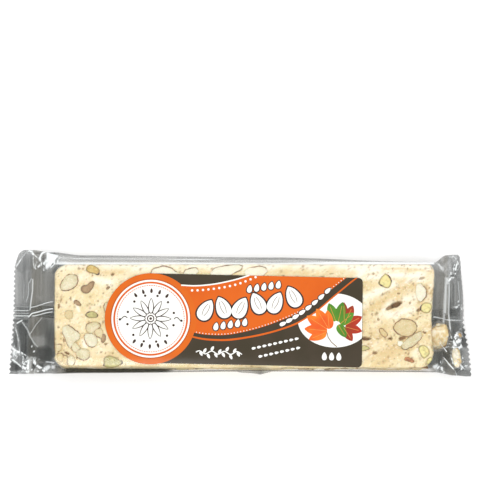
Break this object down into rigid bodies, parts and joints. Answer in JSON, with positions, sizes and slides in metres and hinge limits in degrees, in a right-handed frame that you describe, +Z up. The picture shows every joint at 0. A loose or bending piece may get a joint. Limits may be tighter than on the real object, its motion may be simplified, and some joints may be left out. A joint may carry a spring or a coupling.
{
  "type": "nougat bar",
  "caption": "Slim bar of nut nougat sealed in a clear flow-wrap film pack with crimped, pinked ends and a die-cut printed label on its face, lying flat.",
  "frame": {"origin": "centre of the plan box, on the surface the pack lies on", "axes": "+X along the bar towards the end without the label, +Y across it towards the rear side, +Z up out of the labelled face"},
  "size_m": [0.1874, 0.052, 0.013],
  "materials": {
    "film": "glossy clear film over pale nougat",
    "label": "gloss printed, orange, black-brown and white"
  },
  "bodies": {
    "root": {"film_pack": "film", "label": "label"}
  },
  "joints": []
}
